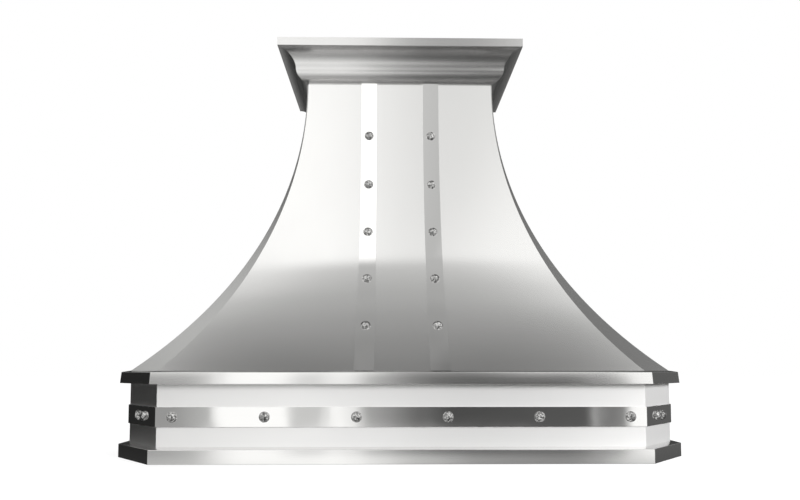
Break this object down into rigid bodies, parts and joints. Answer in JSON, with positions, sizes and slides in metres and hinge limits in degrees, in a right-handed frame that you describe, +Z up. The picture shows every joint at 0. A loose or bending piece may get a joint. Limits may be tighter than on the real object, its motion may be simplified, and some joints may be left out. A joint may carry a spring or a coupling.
{
  "type": "chimney range hood",
  "caption": "Wall-mounted chimney range hood with a flared sheet body, riveted straps, a moulded crown, baffle filters, a blower and a duct collar.",
  "frame": {"origin": "middle of the bounding box at the foot of the hood, with z = 0 on the foot band's underside", "axes": "+X to the viewer's right, -Y out of the front, +Y into the wall, +Z up"},
  "size_m": [1.22, 0.61, 1.007],
  "materials": {
    "brushed_panel": "brushed",
    "polished_trim": "polished",
    "polished_stud": "mirror polished",
    "crown_steel": "brushed",
    "back_steel": "mill finish",
    "frame_steel": "satin paint",
    "liner_steel": "brushed",
    "filter_steel": "bright",
    "knob_metal": "turned",
    "lamp_trim": "polished",
    "lamp_glass": "frosted",
    "black_plastic": "matte",
    "duct_steel": "galvanised",
    "impeller_steel": "galvanised",
    "motor_paint": "satin paint"
  },
  "bodies": {
    "root": {"front_panel": "brushed_panel", "left_side_panel": "brushed_panel", "right_side_panel": "brushed_panel", "left_corner_panel": "brushed_panel", "right_corner_panel": "brushed_panel", "back_panel": "back_steel", "apron_front": "brushed_panel", "apron_left": "brushed_panel", "apron_right": "brushed_panel", "shoulder_band": "polished_trim", "foot_band": "polished_trim", "apron_strap_front": "polished_trim", "apron_strap_left": "polished_trim", "apron_strap_right": "polished_trim", "left_strap": "polished_trim", "right_strap": "polished_trim", "strap_studs_set": "polished_stud", "apron_studs_set": "polished_stud", "crown_front": "crown_steel", "crown_left": "crown_steel", "crown_right": "crown_steel", "base_frame": "frame_steel", "shoulder_frame": "frame_steel", "wall_rails": "frame_steel", "top_plate": "back_steel", "liner_pan": "liner_steel", "liner_rim": "liner_steel", "lamp_shelf": "liner_steel", "rim_screws": "liner_steel", "filter_clips": "liner_steel", "control_switches": "black_plastic", "lamp_bezels": "lamp_trim", "lamp_lenses": "lamp_glass", "lamp_bodies": "duct_steel", "junction_box": "duct_steel", "junction_lid": "duct_steel", "wiring": "black_plastic", "blower_box": "duct_steel", "blower_housing": "duct_steel", "blower_motor": "motor_paint", "motor_bracket": "frame_steel", "exhaust_duct": "duct_steel", "duct_collar": "duct_steel", "damper_pin": "impeller_steel"},
    "left_filter": {"left_filter": "filter_steel", "left_baffles": "filter_steel", "left_filter_handle": "filter_steel"},
    "centre_filter": {"centre_filter": "filter_steel", "centre_baffles": "filter_steel", "centre_filter_handle": "filter_steel"},
    "right_filter": {"right_filter": "filter_steel", "right_baffles": "filter_steel", "right_filter_handle": "filter_steel"},
    "grease_tray": {"grease_tray": "liner_steel"},
    "fan_knob": {"fan_knob": "knob_metal"},
    "light_knob": {"light_knob": "knob_metal"},
    "impeller": {"impeller": "impeller_steel", "motor_shaft": "impeller_steel"},
    "left_flap": {"left_damper_flap": "duct_steel"},
    "right_flap": {"right_damper_flap": "duct_steel"}
  },
  "joints": [
    {"name": "left_filter_hinge", "type": "hinge", "parent": "root", "child": "left_filter", "pos_m": [-0.34767, 0.2355, 0.062], "axis": [1, 0, 0], "range_deg": [0, 70]},
    {"name": "centre_filter_hinge", "type": "hinge", "parent": "root", "child": "centre_filter", "pos_m": [0, 0.2355, 0.062], "axis": [1, 0, 0], "range_deg": [0, 70]},
    {"name": "right_filter_hinge", "type": "hinge", "parent": "root", "child": "right_filter", "pos_m": [0.34767, 0.2355, 0.062], "axis": [1, 0, 0], "range_deg": [0, 70]},
    {"name": "grease_tray_lift", "type": "slide", "parent": "root", "child": "grease_tray", "axis": [0, 0, 1], "range_m": [0, 0.01]},
    {"name": "fan_knob_turn", "type": "hinge", "parent": "root", "child": "fan_knob", "pos_m": [-0.045, -0.1725, 0.036], "axis": [0, 0, -1], "range_deg": [0, 270]},
    {"name": "light_knob_turn", "type": "hinge", "parent": "root", "child": "light_knob", "pos_m": [0.045, -0.1725, 0.036], "axis": [0, 0, -1], "range_deg": [0, 270]},
    {"name": "impeller_spin", "type": "hinge", "parent": "root", "child": "impeller", "pos_m": [0, 0.059, 0.33], "axis": [1, 0, 0], "continuous": true},
    {"name": "left_flap_swing", "type": "hinge", "parent": "root", "child": "left_flap", "pos_m": [0, 0.149, 0.885], "axis": [0, 1, 0], "range_deg": [0, 75]},
    {"name": "right_flap_swing", "type": "hinge", "parent": "root", "child": "right_flap", "pos_m": [0, 0.149, 0.885], "axis": [0, -1, 0], "range_deg": [0, 75]}
  ]
}
